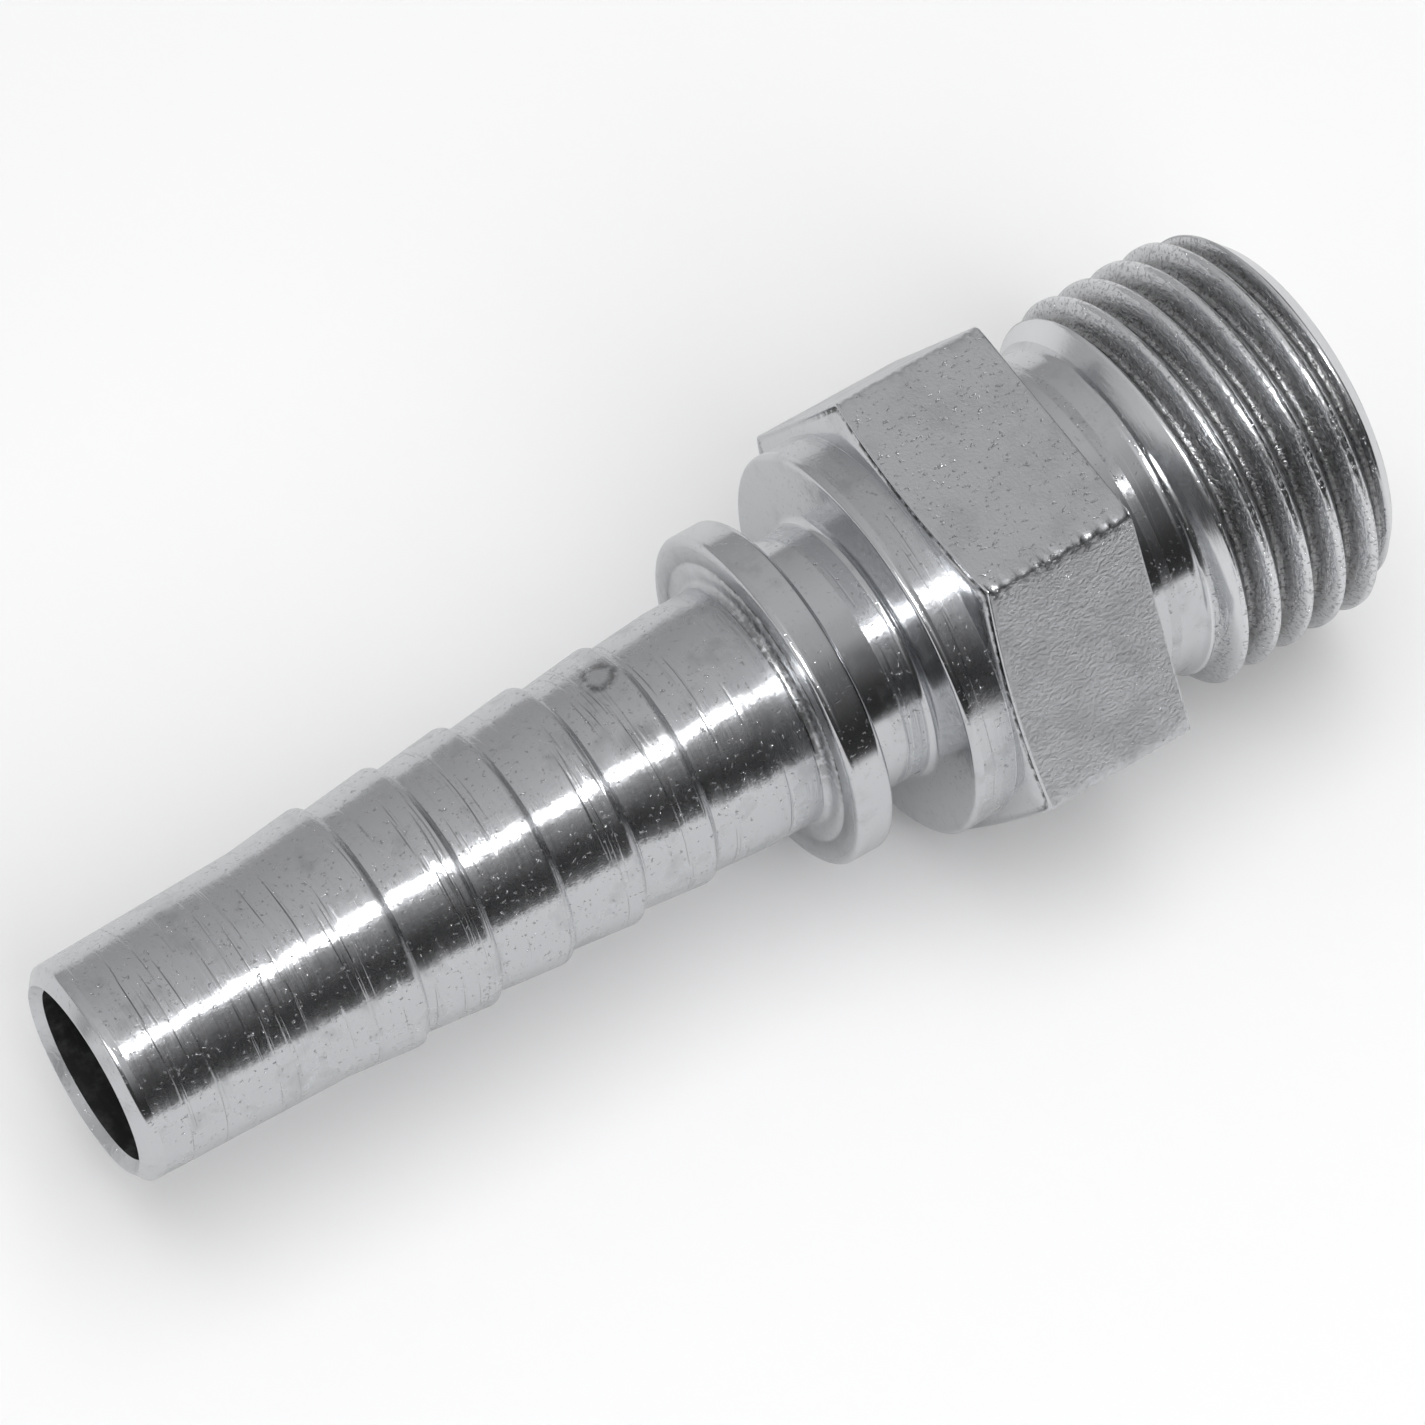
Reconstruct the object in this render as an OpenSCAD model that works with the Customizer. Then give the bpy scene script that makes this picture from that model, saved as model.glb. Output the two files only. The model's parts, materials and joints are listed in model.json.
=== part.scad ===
// Straight male hose fitting, turned from one piece of hexagon steel bar.
// A ridged tail for a rubber hose, a collar and neck for the hose ferrule, a
// hexagon for the spanner and a metric male thread with a cone seat in its mouth.
// The axis runs along +X from the tail to the thread. The fitting lies on one
// flat of its hexagon, with the origin under the middle of its length.

/* [Hose tail] */
// Inside diameter of the hose that goes over the tail
hose_bore = 9.5; // [9:0.05:10.2]
// How much smaller than the hose the tip of the tail is, so that it starts easily
tip_play = 0.7; // [0.5:0.05:1]
// How much smaller than the hose the plain lead is where the ridges begin
lead_play = 0.27; // [0.2:0.01:0.5]
// Length of the plain lead
lead_len = 8.67; // [6:0.01:12]
// Radius on the outer edge of the tip
tip_round = 0.5; // [0.2:0.05:0.5]
// Number of ridges
ridge_count = 5; // [2:1:8]
// Distance from one ridge to the next
ridge_pitch = 3.13; // [2.4:0.01:4]
// Length of a ridge's steep side, which faces the collar
ridge_drop_len = 0.2; // [0.15:0.01:0.5]
// How much larger than the hose a ridge is where its two sides would meet
ridge_grip = 0.4; // [0.3:0.02:0.6]
// How much smaller than the hose the foot of a ridge is
foot_play = 0.26; // [0.1:0.02:0.3]
// Radius on the crest of a ridge
crest_round = 0.36; // [0.2:0.02:0.36]
// Length of the land between the last ridge and the collar
land_len = 4.73; // [3.4:0.01:8]
// How much smaller than the hose the land is where it begins
land_play = 0.1; // [0.02:0.02:0.2]
// Length over which the land rises to its full diameter
land_rise_len = 2.6; // [1.5:0.05:2.8]
// How much larger than the hose the land is
land_grip = 0.32; // [0.1:0.02:0.6]

/* [Ferrule seat] */
// Diameter of the collar that the ferrule is pressed over
collar_d = 13.8; // [12.8:0.1:14.6]
// Width of the collar
collar_w = 1.6; // [1.2:0.05:2.5]
// Radius on the edges of the collar
collar_round = 0.25; // [0.1:0.05:0.4]
// Diameter of the neck behind the collar
neck_d = 10.5; // [10:0.1:11.5]
// Length of the neck
neck_w = 2.9; // [2:0.05:4.5]
// Radius in the inner corners beside the collar and the neck
root_round = 0.3; // [0.1:0.05:0.4]

/* [Hexagon] */
// Diameter of the round shoulder in front of the hexagon
shoulder_d = 16; // [15:0.1:16.8]
// Length of the round shoulder
shoulder_w = 1.75; // [1:0.05:3]
// Radius on the edge of the shoulder
shoulder_round = 0.2; // [0.1:0.05:0.4]
// Width across the flats of the hexagon
hex_af = 17; // [17:0.5:19]
// Length of the hexagon
hex_w = 6.7; // [5:0.1:9]
// How far the hexagon's front face leans back from square
facing_angle = 11; // [5:1:25]

/* [Thread end] */
// Major diameter of the male thread
thread_d = 16; // [15:0.1:16.5]
// Length of the threaded end, with both of its chamfers
thread_len = 8.7; // [7:0.1:12]
// Axial length of the 45 degree chamfer on the mouth of the thread
thread_chamfer = 1.05; // [0.6:0.05:1.4]
// Diameter of the groove where the thread runs out
relief_d = 13.7; // [13:0.1:14.2]
// Width of the groove where the thread runs out
relief_w = 2.6; // [1.5:0.1:4]

/* [Flow way] */
// Diameter of the flow bore
bore_d = 7; // [5.5:0.1:7.2]
// How much the bore widens to each side in the countersink at the tail
sink_r = 0.35; // [0.1:0.05:0.35]
// Depth of the countersink at the tail
sink_len = 0.4; // [0.1:0.05:0.6]
// Diameter of the cone seat at its mouth
seat_d = 12; // [10:0.1:12.4]
// Included angle of the cone seat
seat_angle = 60; // [45:1:90]

/* [Hidden] */
$fn = 128;

// Segments in each rounded corner of an outline
arc_steps = 5;
// Depth by which a cutting tool runs past the surface that it opens
overcut = 1;

// Radii of the tail, from the bore of its hose
tip_r = (hose_bore - tip_play) / 2;
lead_r = (hose_bore - lead_play) / 2;
crest_r = (hose_bore + ridge_grip) / 2;
foot_r = (hose_bore - foot_play) / 2;
land_foot_r = (hose_bore - land_play) / 2;
land_r = (hose_bore + land_grip) / 2;
bore_r = bore_d / 2;
seat_r = seat_d / 2;
relief_r = relief_d / 2;
thread_r = thread_d / 2;
shoulder_r = shoulder_d / 2;

// Places along the axis, counted from the tip of the tail
land_x = lead_len + ridge_count * ridge_pitch;
collar_x = land_x + land_len;
neck_x = collar_x + collar_w;
shoulder_x = neck_x + neck_w;
hex_x = shoulder_x + shoulder_w;
relief_x = hex_x + hex_w;
thread_x = relief_x + relief_w;
total_len = thread_x + thread_len;
seat_x = total_len - (seat_r - bore_r) / tan(seat_angle / 2);

// Radius of a circle that clears the corners of the hexagon
hex_clear_r = hex_af;
// Where the cone of the hexagon's front face would meet the axis
facing_x = hex_x - shoulder_r * tan(facing_angle);

function unit(v) = v / norm(v);
function place(p) = [p[0], p[1]];

// Arc of radius p[2] that rounds the corner p between its neighbours a and b
function rounded(a, p, b) =
    let (u = unit(place(a) - place(p)),
         v = unit(place(b) - place(p)),
         half = acos(u * v) / 2,
         middle = place(p) + unit(u + v) * p[2] / sin(half),
         start = place(p) + u * p[2] / tan(half) - middle,
         end = place(p) + v * p[2] / tan(half) - middle,
         from = atan2(start[1], start[0]),
         turn = (atan2(end[1], end[0]) - from + 540) % 360 - 180)
    [for (i = [0:arc_steps])
        middle + p[2] * [cos(from + turn * i / arc_steps), sin(from + turn * i / arc_steps)]];

// An outline of corners [radius, place along the axis, corner radius], each one
// rounded where its corner radius isn't zero
function outline(corners) =
    [for (i = [0:len(corners) - 1])
        let (last = len(corners) - 1,
             a = corners[i == 0 ? last : i - 1],
             b = corners[i == last ? 0 : i + 1])
        each corners[i][2] > 0 ? rounded(a, corners[i], b) : [place(corners[i])]];

// The tail from its tip to its last ridge: each ridge rises slowly from the
// tip's side, so that the hose slides on, and drops steeply behind its crest
tail_corners = concat(
    [[0, 0, 0],
     [tip_r, 0, tip_round],
     [lead_r, lead_len, 0]],
    [for (i = [1:ridge_count], side = [0, 1])
        let (foot_x = lead_len + i * ridge_pitch,
             base_r = i < ridge_count ? foot_r : land_foot_r)
        side == 0 ? [crest_r, foot_x - ridge_drop_len, crest_round] : [base_r, foot_x, 0]]);

// From the land to the round shoulder, where the ferrule is pressed on
ferrule_corners = [
    [land_r, land_x + land_rise_len, 0],
    [land_r, collar_x, root_round],
    [collar_d / 2, collar_x, collar_round],
    [collar_d / 2, neck_x, collar_round],
    [neck_d / 2, neck_x, root_round],
    [neck_d / 2, shoulder_x, root_round],
    [shoulder_r, shoulder_x, shoulder_round]];

// From inside the hexagon to the mouth of the thread
thread_corners = [
    [shoulder_r, relief_x - hex_w / 2, 0],
    [relief_r, relief_x - hex_w / 2, 0],
    [relief_r, thread_x, 0],
    [thread_r, thread_x + thread_r - relief_r, 0],
    [thread_r, total_len - thread_chamfer, 0],
    [thread_r - thread_chamfer, total_len, 0],
    [0, total_len, 0]];

// Everything that is round on the outside
module turned_body() {
    rotate_extrude()
        polygon(outline(concat(tail_corners, ferrule_corners, thread_corners)));
}

// The length of bar that keeps its six flats, with its front face turned to a cone
module hexagon() {
    intersection() {
        translate([0, 0, facing_x])
            rotate([0, 0, 30])
                cylinder(h = relief_x - facing_x, r = hex_af / 2 / cos(30), $fn = 6);
        rotate_extrude()
            polygon([[0, facing_x],
                     [hex_clear_r, facing_x + hex_clear_r * tan(facing_angle)],
                     [hex_clear_r, relief_x + overcut],
                     [0, relief_x + overcut]]);
    }
}

// The way of the fluid: bore, countersink at the tail's tip and cone seat at the mouth
module flow_way() {
    rotate_extrude()
        polygon([[0, -overcut],
                 [bore_r + sink_r, -overcut],
                 [bore_r + sink_r, 0],
                 [bore_r, sink_len],
                 [bore_r, seat_x],
                 [seat_r + overcut * tan(seat_angle / 2), total_len + overcut],
                 [0, total_len + overcut]]);
}

module fitting_body() {
    color("silver")
        translate([-total_len / 2, 0, hex_af / 2])
            rotate([0, 90, 0])
                difference() {
                    union() {
                        turned_body();
                        hexagon();
                    }
                    flow_way();
                }
}

fitting_body();
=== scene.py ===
"""A straight male hose fitting on a pale studio floor.

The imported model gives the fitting's length, hexagon, thread and place. One surface
stands for its body: Geometry Nodes turn an outline round the axis, give the hexagon
its flats and cut the thread as a helix. Lengths along the fitting are in millimetres,
counted from the tip of its tail, until the surface is scaled into the frame.
"""
import json
from collections import namedtuple
from math import acos, atan2, cos, hypot, pi, radians, sin, sqrt, tan

import bpy
from mathutils import Matrix, Vector


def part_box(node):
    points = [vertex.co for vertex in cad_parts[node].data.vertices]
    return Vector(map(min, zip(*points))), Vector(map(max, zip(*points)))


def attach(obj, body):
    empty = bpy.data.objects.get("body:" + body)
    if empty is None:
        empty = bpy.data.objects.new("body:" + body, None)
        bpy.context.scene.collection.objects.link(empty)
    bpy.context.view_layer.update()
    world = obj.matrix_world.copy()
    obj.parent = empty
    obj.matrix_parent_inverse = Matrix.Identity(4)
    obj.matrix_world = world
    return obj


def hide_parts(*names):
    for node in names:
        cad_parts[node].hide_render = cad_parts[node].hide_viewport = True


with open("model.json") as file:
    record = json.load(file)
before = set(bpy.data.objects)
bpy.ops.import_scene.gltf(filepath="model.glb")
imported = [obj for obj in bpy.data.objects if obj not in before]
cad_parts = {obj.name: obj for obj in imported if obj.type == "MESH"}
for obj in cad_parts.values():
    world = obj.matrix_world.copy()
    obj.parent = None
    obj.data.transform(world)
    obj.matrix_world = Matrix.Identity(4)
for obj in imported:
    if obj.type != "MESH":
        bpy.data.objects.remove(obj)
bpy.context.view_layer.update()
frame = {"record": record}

# Frame
MM = 0.001
BODY = "fitting_body"
low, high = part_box(BODY)
mounts = {mount["name"]: mount for mount in frame["record"]["mounts"]}
total_len = (high[0] - low[0]) / MM
hex_af = (high[2] - low[2]) / MM
start_x = low[0]
axis_z = (low[2] + high[2]) / 2
thread_r = mounts["male_thread"]["dims"]["r_mm"]
bore_r = mounts["flow_bore"]["dims"]["r_mm"]

# Hose tail, whose tip is chamfered from the rim of its hole to tip_r
rim_round = 0.04
tip_r = 4.4
tip_len = 0.43
tip_round = 0.25
lead_r = 4.615
lead_len = 8.67
ridge_count = 5
ridge_pitch = 3.13
ridge_drop_len = 0.2
crest_r = 4.95
crest_round = 0.36
foot_r = 4.62
foot_round = 0.03
land_foot_r = 4.7
land_r = 4.91
land_len = 4.73
land_rise_len = 2.6
land_round = 3.0

# Ferrule seat and shoulder
collar_r = 6.9
collar_w = 1.6
collar_round = 0.25
neck_r = 5.25
neck_w = 2.9
root_round = 0.3
burnished_neck_len = 1.67
shoulder_r = 8.0
shoulder_w = 1.75
shoulder_round = 0.2
# Length of the narrow stretch beside an edge over which the tool marks or the painted shade change
edge_len = 0.35
# How much painted shade, in dark dotted patches, lies in the corner in front of the collar and on the faces
# of the collar and the shoulder
corner_shade = 0.7
collar_shade = 0.3
shoulder_shade = 0.2

# Fine turned lines on the collar's face and near the edge of the hexagon's front face
line_depth = 0.04
collar_line_r = 5.83
collar_line_w = 0.2
facing_line_gap = 0.08
facing_line_w = 0.26

# Hexagon
hex_w = 6.7
facing_angle = 11
hex_corner_round = 0.32
hex_edge_round = 0.07

# Nicks along the hexagon's corners: their depth and size, how far they reach from a
# corner in radians, and the values of their noise at which they begin and are full
nick_depth = 0.085
nick_size = 0.22
nick_reach = 0.05
nick_from = 0.42
nick_full = 0.66

# Thread and the undercut beside it, which has one rough band
relief_r = 6.85
relief_w = 2.6
relief_round = 0.3
runout_round = 0.4
rough_band_x = 1.2
rough_band_len = 0.45
thread_pitch = 1.5
thread_depth = 0.92
crest_flat = 0.22
flank_angle = 30
crest_blend = 0.06
root_blend = 0.15
thread_chamfer = 1.05
first_crest = 0.46

# Flow way: the countersink at the tail and the cone seat at the mouth
sink_r = 0.35
sink_len = 0.4
seat_r = 6.0
seat_angle = 60
seat_round = 0.08
seat_foot_round = 0.2
# How far up the seat the bore's wall, painted dark as shade, reaches
seat_foot_len = 0.5
# How far inside the bore, from the countersink, the outline's two ends meet
sink_lip = 0.15

# Fineness of the surface
columns_per_flat = 40
corner_crowding = 0.88
rows_per_pitch = 18
arc_rows = 6
flat_rows = 50
facing_rows = 3
# Share of the way out to the hexagon's outline that the front face's first rows cover
facing_share = 0.25
# Share of a step by which the first row keeps off the ring before it
facing_lead = 0.03
flat_lead = 0.05
# Distance from a rounded corner to the extra ring that keeps its shading clean
guard = 0.03
weld = 0.002 * MM

# Strength of the tool marks on a turned stretch, and the least that isn't burnished
polished = 0.15
rubbed = 0.2
least_marks = 0.25
faint = 0.4
fine = 0.5
clear = 0.6
strong = 0.9
full = 1.0

# Places along the axis
collar_x = lead_len + ridge_count * ridge_pitch + land_len
neck_x = collar_x + collar_w
shoulder_x = neck_x + neck_w
hex_x = shoulder_x + shoulder_w
relief_x = hex_x + hex_w
thread_x = relief_x + relief_w
seat_x = total_len - (seat_r - bore_r) / tan(radians(seat_angle / 2))

# Radii of the mouth's flat ring, at its outer edge, and of the thread's root
mouth_r = thread_r - thread_chamfer
root_r = thread_r - thread_depth
# Place where the thread's first chamfer has risen to the thread's root
cut_x = thread_x + root_r - relief_r

# Finishes, in the order of the numbers by which the surface's faces name them; the last paints the bore's
# wall dark as shade
FINISHES = ("Turned", "Burnished", "Drawn", "Threaded", "Drilled")
TURNED, BURNISHED, DRAWN, THREADED, DRILLED_SHADE = range(len(FINISHES))


# Outline of the surface

# A corner of the outline: its place and radius, the radius that rounds it, the strength
# of its tool marks and how much painted shade it has
Corner = namedtuple("Corner", "place radius rounding marks soil", defaults=(0,))

# A ring of the surface: its place and radius, the strength of its tool marks, the finish
# of the faces after it, how far it follows the hexagon's outline (share) and the lean of
# its front face, whether it follows the thread (wave) and how much painted shade it has
Ring = namedtuple("Ring", "place radius marks finish share lean wave soil", defaults=(0, 0, 0, 0))


def rounded(before, corner, after):
    """Points of the arc that rounds a corner, with a guard point on each side of it."""
    p = Vector((corner.place, corner.radius))
    u = (Vector((before.place, before.radius)) - p).normalized()
    v = (Vector((after.place, after.radius)) - p).normalized()
    half = acos(max(-1.0, min(1.0, u.dot(v)))) / 2
    middle = p + (u + v).normalized() * (corner.rounding / sin(half))
    start = p + u * (corner.rounding / tan(half)) - middle
    end = p + v * (corner.rounding / tan(half)) - middle
    first = atan2(start.y, start.x)
    turn = (atan2(end.y, end.x) - first + 3 * pi) % (2 * pi) - pi
    angles = [first + turn * i / arc_rows for i in range(arc_rows + 1)]
    arc = [middle + corner.rounding * Vector((cos(a), sin(a))) for a in angles]
    return [arc[0] + u * guard] + arc + [arc[-1] + v * guard]


def outline(corners):
    """The corners of a line, with an arc of them in place of each one that is rounded."""
    corners = [Corner(*corner) for corner in corners]
    points = []
    for i, corner in enumerate(corners):
        if corner.rounding and 0 < i < len(corners) - 1:
            arc = rounded(corners[i - 1], corner, corners[i + 1])
            points += [corner._replace(place=p.x, radius=p.y) for p in arc]
        else:
            points.append(corner)
    return points


def plain_rings(corners):
    """Rings of a round stretch of the surface, burnished where it has next to no tool marks."""
    return [Ring(point.place, point.radius, point.marks,
                 BURNISHED if point.marks < least_marks else TURNED, soil=point.soil)
            for point in outline(corners)]


def refinished(rings, finish, places, radii):
    """The rings, with another finish where both their place and their radius are in range."""
    return [ring._replace(finish=finish)
            if places[0] <= ring.place <= places[1] and radii[0] <= ring.radius <= radii[1] else ring
            for ring in rings]


def ridge_corners():
    """The tail from its chamfered tip over its ridges to the full radius of its land."""
    beside_tip_r = tip_r + (lead_r - tip_r) * edge_len / lead_len
    corners = [(tip_len, tip_r, tip_round, rubbed),
               (tip_len + edge_len, beside_tip_r, 0, full),
               (lead_len, lead_r, foot_round, full)]
    for i in range(1, ridge_count + 1):
        foot_x = lead_len + i * ridge_pitch
        base_r = foot_r if i < ridge_count else land_foot_r
        corners += [(foot_x - ridge_drop_len, crest_r, crest_round, full),
                    (foot_x, base_r, foot_round, full)]
    return corners + [(lead_len + ridge_count * ridge_pitch + land_rise_len, land_r, land_round, full)]


def ferrule_corners():
    """From the land over the collar, the neck and the shoulder to the foot of the hexagon."""
    # The corner in front of the collar, the collar's face with the floor of its fine line, and the
    # shoulder's face carry painted shade
    return [(collar_x - edge_len, land_r, 0, full),
            (collar_x, land_r, root_round, rubbed, corner_shade),
            (collar_x, collar_line_r - collar_line_w / 2, 0, rubbed, collar_shade),
            (collar_x + line_depth, collar_line_r - collar_line_w / 3, 0, rubbed, 1),
            (collar_x + line_depth, collar_line_r + collar_line_w / 3, 0, rubbed, 1),
            (collar_x, collar_line_r + collar_line_w / 2, 0, rubbed),
            (collar_x, collar_r - edge_len, 0, rubbed),
            (collar_x, collar_r, collar_round, polished),
            (neck_x, collar_r, collar_round, polished),
            (neck_x, neck_r, root_round, rubbed),
            (neck_x + burnished_neck_len, neck_r, 0, clear),
            (shoulder_x, neck_r, root_round, rubbed),
            (shoulder_x, shoulder_r - edge_len, 0, rubbed, shoulder_shade),
            (shoulder_x, shoulder_r, shoulder_round, rubbed),
            (shoulder_x + edge_len, shoulder_r, 0, fine),
            (hex_x - guard, shoulder_r, 0, fine),
            (hex_x, shoulder_r, 0, rubbed)]


def tail_rings():
    """From just inside the bore at the tail to the foot of the hexagon."""
    sink_corners = [(sink_len + sink_lip, bore_r, 0, rubbed),
                    (sink_len, bore_r, rim_round, rubbed),
                    (0, bore_r + sink_r, rim_round, rubbed)]
    rings = plain_rings(sink_corners + ridge_corners() + ferrule_corners())
    rings = refinished(rings, DRAWN, (0, sink_len), (0, bore_r + sink_r))
    # The bore's lip behind the countersink gets the bore's painted shade
    rings = refinished(rings, DRILLED_SHADE, (sink_len, sink_len + sink_lip), (0, bore_r + guard))
    return refinished(rings, DRAWN, (collar_x - root_round, collar_x + line_depth),
                      (land_r, collar_r - edge_len - guard))


def hexagon_rings():
    """The hexagon's turned front face, its flats and its back face."""
    slope = tan(radians(facing_angle))
    quarter = [pi / 2 * i / arc_rows for i in range(arc_rows + 1)]
    flats_start = hex_x + hex_edge_round
    flats_end = relief_x - hex_edge_round
    rings = []

    def add_front(inward, sunk, marks, soil=0):
        """Adds a ring of the front face, by how far it lies in from the flats and is sunk."""
        rings.append(Ring(hex_x + sunk - inward * slope, shoulder_r - inward, marks, BURNISHED,
                          share=1, lean=1, soil=soil))

    for i in range(facing_rows):
        share = facing_share * (i + facing_lead) / (facing_rows - 1)
        rings.append(Ring(hex_x, shoulder_r, rubbed, BURNISHED, share=share, lean=share))
    # Across the fine line, which has slanted sides and a flat floor darkened with painted shade
    for across, depth in ((1, 0), (0.8, 1), (0.2, 1), (0, 0)):
        add_front(facing_line_gap + facing_line_w * across, line_depth * depth, rubbed, soil=depth)
    for a in quarter:
        add_front(hex_edge_round * (1 - sin(a)), hex_edge_round * (1 - cos(a)), faint)
    for i in range(flat_rows):
        along = (i + flat_lead) / flat_rows
        rings.append(Ring(flats_start + along * (flats_end - flats_start), shoulder_r, faint, DRAWN,
                          share=1, lean=1 - along))
    for a in quarter:
        place = relief_x - hex_edge_round * (1 - sin(a))
        inward = hex_edge_round * (1 - cos(a))
        rings.append(Ring(place, shoulder_r - inward, faint, TURNED, share=1))
    for share in (0.5, 0):
        rings.append(Ring(relief_x, shoulder_r, faint, TURNED, share=share))
    return rings


def thread_rings():
    """The undercut beside the hexagon and the threaded end, whose rings follow the helix."""
    rings = plain_rings([(relief_x, shoulder_r - guard, 0, faint),
                         (relief_x, relief_r, relief_round, polished),
                         (relief_x + rough_band_x, relief_r, 0, strong),
                         (relief_x + rough_band_x + rough_band_len, relief_r, 0, polished),
                         (thread_x, relief_r, runout_round, rubbed),
                         (cut_x, root_r, 0, rubbed)])[1:]
    step = thread_pitch / rows_per_pitch
    count = round((total_len - cut_x + thread_pitch) / step)
    return rings + [Ring(total_len - (count - i) * step, thread_r, fine, THREADED, wave=1)
                    for i in range(count + 1)]


def mouth_rings():
    """The mouth's flat ring, the cone seat and the bore, back to the tail."""
    corners = [(total_len, mouth_r, 0, fine),
               (total_len, seat_r, seat_round, fine),
               (seat_x, bore_r, seat_foot_round, faint),
               (sink_len + sink_lip, bore_r, 0, faint)]
    # Past the seat's foot the bore gets its painted shade
    return [Ring(point.place, point.radius, point.marks,
                 TURNED if point.place > seat_x + seat_foot_len else DRILLED_SHADE)
            for point in outline(corners)[1:]]


def outline_mesh(rings):
    """The rings as one vertex each, with what the surface's tree reads as attributes."""
    mesh = bpy.data.meshes.new("fitting_outline")
    mesh.from_pydata([(ring.place, ring.radius, 0) for ring in rings], [], [])
    values = {name: [float(getattr(ring, name)) for ring in rings]
              for name in ("share", "lean", "wave", "marks", "finish", "soil")}
    # The run is the outline's length up to each ring, by which the tool marks are spaced
    values["run"] = [0.0]
    for a, b in zip(rings, rings[1:]):
        reach = (b.share - a.share) * (hex_af / 2 - shoulder_r)
        values["run"].append(values["run"][-1] + hypot(b.place - a.place, b.radius - a.radius + reach))
    for name, listed in values.items():
        mesh.attributes.new(name, "FLOAT", "POINT").data.foreach_set("value", listed)
    return mesh


# Nodes

class Nodes:
    """Makes nodes in one tree and links them."""

    def __init__(self, tree):
        self.tree = tree

    def add(self, kind, **settings):
        """A new node with its settings."""
        made = self.tree.nodes.new(kind)
        for name, value in settings.items():
            setattr(made, name, value)
        return made

    def feed(self, socket, value):
        """Links an output to a socket, or sets the socket to a value."""
        if isinstance(value, bpy.types.NodeSocket):
            self.tree.links.new(value, socket)
        else:
            socket.default_value = value

    def calc(self, operation, *values):
        """A Math node's result."""
        made = self.add("ShaderNodeMath", operation=operation)
        for socket, value in zip(made.inputs, values):
            self.feed(socket, value)
        return made.outputs[0]

    def blend(self, mask, low, high):
        """A value between two, by a mask."""
        return self.calc("ADD", low, self.calc("MULTIPLY", mask, self.calc("SUBTRACT", high, low)))

    def blend_range(self, value, start, end, low_out=0.0, high_out=1.0):
        """A smooth step of a value from one range to another."""
        made = self.add("ShaderNodeMapRange", interpolation_type="SMOOTHSTEP")
        for name, given in (("Value", value), ("From Min", start), ("From Max", end),
                            ("To Min", low_out), ("To Max", high_out)):
            self.feed(made.inputs[name], given)
        return made.outputs["Result"]

    def blend_color(self, mask, low, high):
        """A colour between two, by a mask."""
        made = self.add("ShaderNodeMix", data_type="RGBA")
        self.feed(made.inputs["Factor"], mask)
        for name, value in (("A", low), ("B", high)):
            socket = next(item for item in made.inputs if item.name == name and item.type == "RGBA")
            self.feed(socket, (*value, 1) if isinstance(value, tuple) else value)
        return next(item for item in made.outputs if item.type == "RGBA")

    def join(self, x, y, z):
        """A vector of three values."""
        made = self.add("ShaderNodeCombineXYZ")
        for socket, value in zip(made.inputs, (x, y, z)):
            self.feed(socket, value)
        return made.outputs[0]

    def parts(self, vector):
        """The X, Y and Z of a vector."""
        made = self.add("ShaderNodeSeparateXYZ")
        self.feed(made.inputs[0], vector)
        return made.outputs

    def noise(self, spot, scale, detail=2.0, roughness=0.5):
        """The value of a noise at a spot, from 0 to 1."""
        made = self.add("ShaderNodeTexNoise")
        for name, value in (("Vector", spot), ("Scale", scale),
                            ("Detail", detail), ("Roughness", roughness)):
            self.feed(made.inputs[name], value)
        return made.outputs["Fac"]


# The fitting's surface

class SurfaceNodes(Nodes):
    """The nodes of the surface's tree, with its named inputs."""

    def __init__(self, tree):
        super().__init__(tree)
        self.given = self.add("NodeGroupInput").outputs

    def named(self, name, kind="FLOAT"):
        """An attribute's values."""
        made = self.add("GeometryNodeInputNamedAttribute", data_type=kind)
        made.inputs["Name"].default_value = name
        return made.outputs["Attribute"]

    def at_ring(self, source, index, kind="FLOAT"):
        """The value that a field has on the outline's ring with this index."""
        sample = self.add("GeometryNodeSampleIndex", data_type=kind, domain="POINT")
        self.feed(sample.inputs["Geometry"], self.given["Outline"])
        self.feed(sample.inputs["Value"], source)
        self.feed(sample.inputs["Index"], index)
        return sample.outputs["Value"]

    def at_points(self, value):
        """A value worked out at the points, also where the faces' corners read it."""
        held = self.add("GeometryNodeFieldOnDomain", data_type="FLOAT", domain="POINT")
        self.feed(held.inputs[0], value)
        return held.outputs[0]

    def store(self, geometry, name, value, domain):
        """The geometry with a value stored under a name."""
        kept = self.add("GeometryNodeStoreNamedAttribute", data_type="FLOAT", domain=domain)
        kept.inputs["Name"].default_value = name
        self.feed(kept.inputs["Geometry"], geometry)
        self.feed(kept.inputs["Value"], value)
        return kept.outputs[0]


def surface_sizes():
    """The named sizes that the surface's tree is given."""
    return {"Flat Columns": columns_per_flat, "Corner Crowding": corner_crowding,
            "Across Flats": hex_af, "Corner Radius": hex_corner_round,
            "Shoulder Radius": shoulder_r, "Facing Slope": tan(radians(facing_angle)),
            "Nick Depth": nick_depth, "Nick Size": nick_size,
            "Pitch": thread_pitch, "Thread Radius": thread_r, "Thread Depth": thread_depth,
            "Crest Flat": crest_flat, "Flank Slope": 1 / tan(radians(flank_angle)),
            "Crest Blend": crest_blend, "Root Blend": root_blend,
            "Crest Place": thread_x + first_crest,
            "Thread Start": cut_x, "Thread End": total_len,
            "Start Radius": root_r, "End Radius": mouth_r,
            "Tip Place": start_x, "Axis Height": axis_z, "Weld Distance": weld}


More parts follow.
